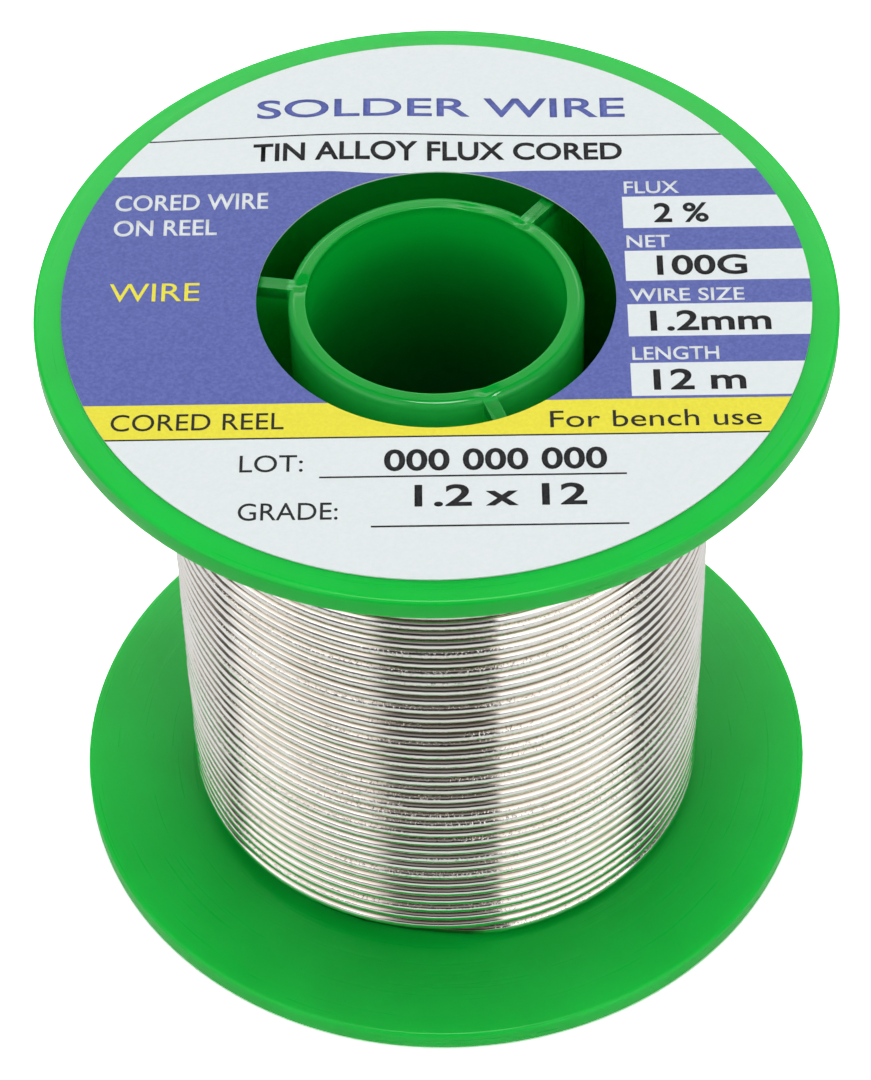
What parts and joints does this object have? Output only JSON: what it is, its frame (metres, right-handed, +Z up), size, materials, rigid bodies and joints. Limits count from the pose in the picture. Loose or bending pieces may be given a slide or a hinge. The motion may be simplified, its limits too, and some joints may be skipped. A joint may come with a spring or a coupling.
{
  "type": "solder wire spool",
  "caption": "Moulded plastic reel with a ribbed hub and a ring label, wound with two layers of solder wire.",
  "frame": {"origin": "centre of the lower flange's underside, on the reel's axis, where the spool stands", "axes": "+Z up along the reel's axis, towards the labelled flange; the label's print is level with X and reads from -Y"},
  "size_m": [0.066, 0.066, 0.0602],
  "materials": {
    "green_plastic": "smooth moulded, semi-gloss, slightly translucent",
    "solder": "bright drawn solder wire",
    "label_paper": "printed sticker, satin"
  },
  "bodies": {
    "root": {"upper_flange": "green_plastic", "upper_barrel_half": "green_plastic", "upper_hub_tube": "green_plastic", "upper_rib_1": "green_plastic", "upper_rib_2": "green_plastic", "upper_rib_3": "green_plastic", "lower_flange": "green_plastic", "lower_barrel_half": "green_plastic", "lower_hub_tube": "green_plastic", "lower_rib_1": "green_plastic", "lower_rib_2": "green_plastic", "lower_rib_3": "green_plastic", "wire_inner_layer": "solder", "wire_outer_layer": "solder", "wire_free_end": "solder", "flange_label": "label_paper"}
  },
  "joints": []
}
